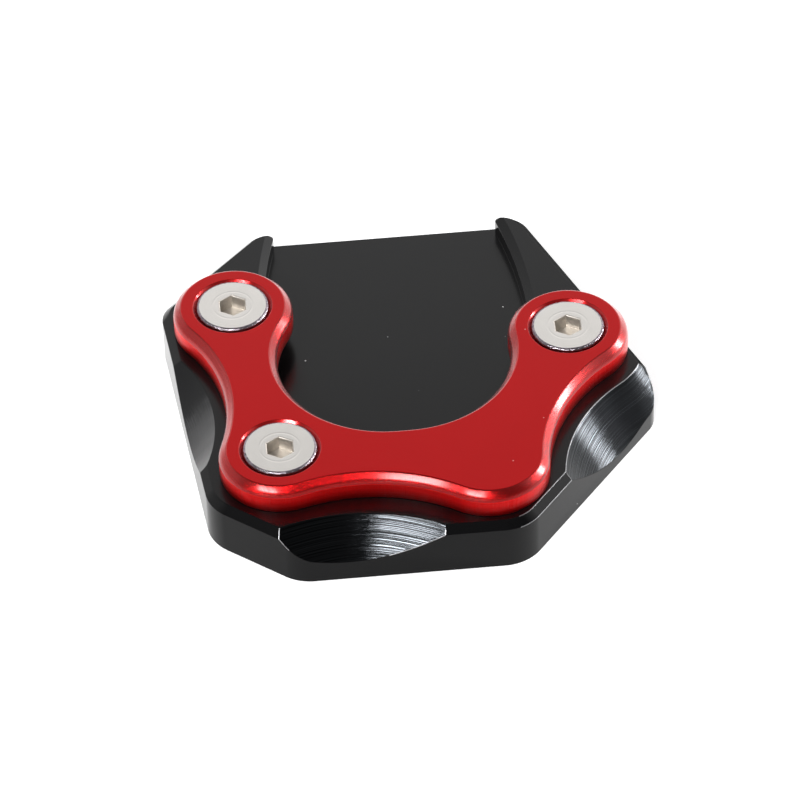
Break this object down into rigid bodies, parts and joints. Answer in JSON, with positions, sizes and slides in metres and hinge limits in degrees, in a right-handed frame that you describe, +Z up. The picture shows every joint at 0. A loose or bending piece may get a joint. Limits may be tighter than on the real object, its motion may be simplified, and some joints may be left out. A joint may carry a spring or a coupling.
{
  "type": "kickstand foot enlarger",
  "caption": "Bevelled black base plate with an open pocket between its horns, and a red lobed clamp plate held on it by countersunk socket screws, for widening the foot of a side stand.",
  "frame": {"origin": "middle of the bounding box on the underside, where the plate meets the ground", "axes": "+Z up through the clamp plate, +Y to the open rear end of the pocket between the horns, +X to the right seen from the front"},
  "size_m": [0.0775, 0.0728, 0.0137],
  "materials": {
    "black_anodised": "satin black anodised",
    "red_anodised": "satin red anodised",
    "bright_steel": "turned bright steel"
  },
  "bodies": {
    "root": {"base_plate": "black_anodised", "clamp_plate": "red_anodised", "screws": "bright_steel"}
  },
  "joints": []
}
